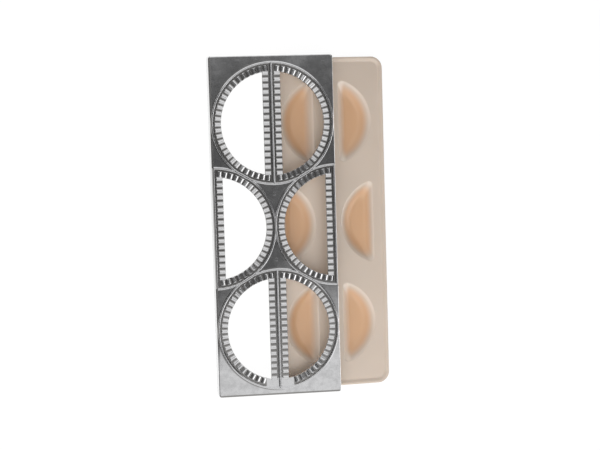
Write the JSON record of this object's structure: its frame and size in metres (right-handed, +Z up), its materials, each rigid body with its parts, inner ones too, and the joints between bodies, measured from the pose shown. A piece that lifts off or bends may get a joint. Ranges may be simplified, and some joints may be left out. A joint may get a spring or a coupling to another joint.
{
  "type": "pierogi maker",
  "caption": "Cast metal cutter frame with half-moon openings and crimping ribs, lying partly on its thin moulded press tray with matching pockets.",
  "frame": {"origin": "on the table, under the middle of the two pieces as they lie", "axes": "+X across the short side, from the frame towards the tray; +Y along the long side; +Z up from the table"},
  "size_m": [0.1608, 0.3066, 0.0288],
  "materials": {
    "cast_aluminium": "polished casting with a soft sheen",
    "cream_plastic": "smooth satin moulding",
    "foot_rubber": "matt rubber"
  },
  "bodies": {
    "tray": {"press_tray": "cream_plastic"},
    "frame": {"cutter_frame": "cast_aluminium", "foot_front_left": "foot_rubber", "foot_front_right": "foot_rubber", "foot_back_left": "foot_rubber", "foot_back_right": "foot_rubber"}
  },
  "joints": [
    {"name": "frame_lift", "type": "slide", "parent": "tray", "child": "frame", "axis": [0, 0, 1], "range_m": [0, 0.1]}
  ]
}
